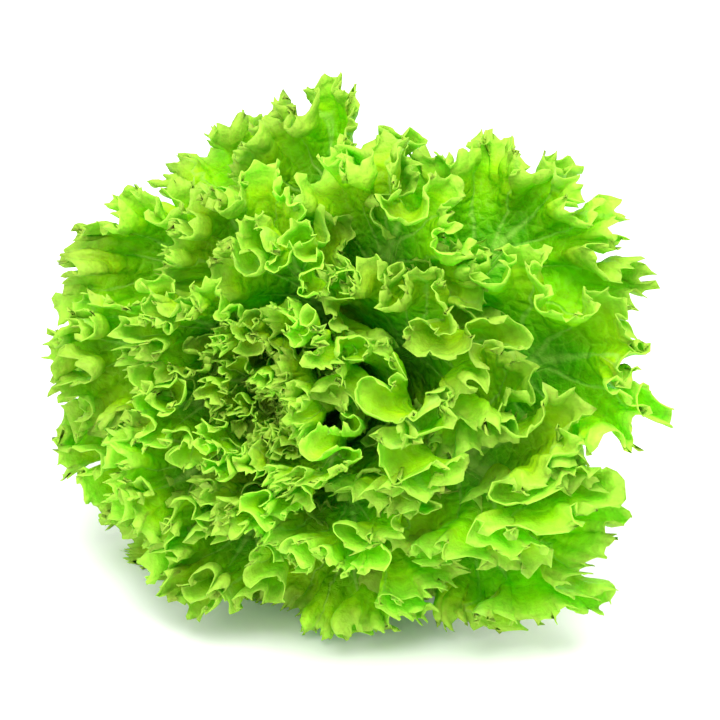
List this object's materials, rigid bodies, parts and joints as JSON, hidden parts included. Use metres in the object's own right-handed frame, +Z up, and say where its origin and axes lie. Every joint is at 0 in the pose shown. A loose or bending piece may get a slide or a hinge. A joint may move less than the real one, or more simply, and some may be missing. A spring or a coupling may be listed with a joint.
{
  "type": "lollo bionda lettuce",
  "caption": "Whole cut head of frilled loose-leaf lettuce, lying on its side on its lower outer leaves, with the heart facing the front.",
  "frame": {"origin": "centre of the head's bounding box, on the surface that the head lies on", "axes": "+Z up from the surface, -Y to the front, where the heart looks with a turn to -X, +X to the right of someone who looks at the heart"},
  "size_m": [0.2678, 0.2197, 0.2269],
  "materials": {
    "leaf": "satin",
    "heart": "satin",
    "stem": "satin"
  },
  "bodies": {
    "root": {"leaf_01": "leaf", "leaf_02": "leaf", "leaf_03": "leaf", "leaf_04": "leaf", "leaf_05": "leaf", "leaf_06": "leaf", "leaf_07": "leaf", "leaf_08": "leaf", "leaf_09": "leaf", "leaf_10": "leaf", "leaf_11": "leaf", "leaf_12": "leaf", "leaf_13": "leaf", "leaf_14": "leaf", "leaf_15": "leaf", "leaf_16": "leaf", "leaf_17": "leaf", "leaf_18": "leaf", "leaf_19": "leaf", "leaf_20": "leaf", "leaf_21": "leaf", "leaf_22": "leaf", "leaf_23": "leaf", "leaf_24": "leaf", "leaf_25": "leaf", "leaf_26": "leaf", "leaf_27": "leaf", "heart": "heart", "stem": "stem"}
  },
  "joints": []
}
